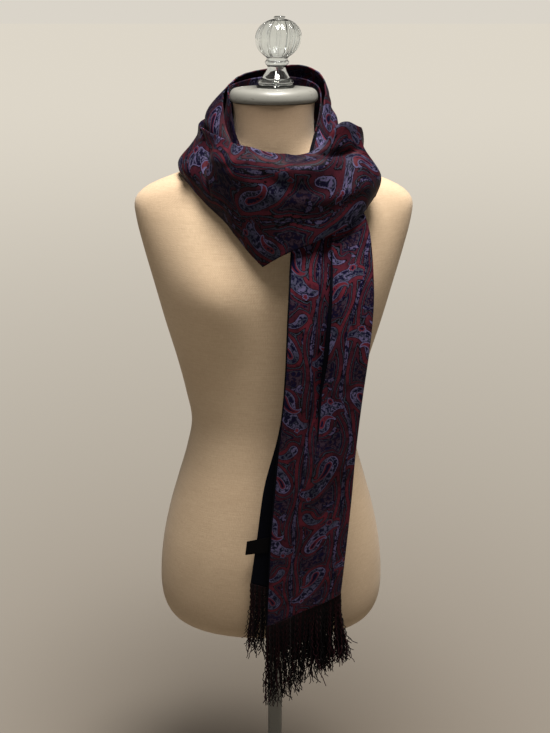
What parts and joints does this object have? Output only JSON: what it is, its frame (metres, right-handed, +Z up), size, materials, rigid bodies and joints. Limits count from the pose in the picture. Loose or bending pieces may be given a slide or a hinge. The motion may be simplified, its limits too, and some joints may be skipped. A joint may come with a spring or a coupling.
{
  "type": "fringed scarf on a limbless dress form with a stand",
  "caption": "Long doubled scarf with fringed ends, looped round the neck of a limbless dress form on a pole and round base.",
  "frame": {"origin": "middle of the round base, at its underside", "axes": "+Z up the pole, the front of the form towards -Y, +X to the right as seen from the front"},
  "size_m": [0.338, 0.3, 1.2526],
  "materials": {
    "print": "satin",
    "backing": "matte",
    "yarn": "matte",
    "linen": "matte",
    "white_paint": "satin",
    "glass": "gloss"
  },
  "bodies": {
    "root": {"wrap_right": "print", "wrap_back": "print", "wrap_left": "print", "front_band": "print", "loop_end": "print", "band_behind": "print", "inner_wrap": "print", "front_tail": "print", "back_tail_face": "print", "back_tail_backing": "backing", "label": "backing", "front_fringe": "yarn", "back_fringe": "yarn", "form": "linen", "neck_cap": "white_paint", "finial": "glass", "pole": "white_paint", "base": "white_paint"}
  },
  "joints": []
}
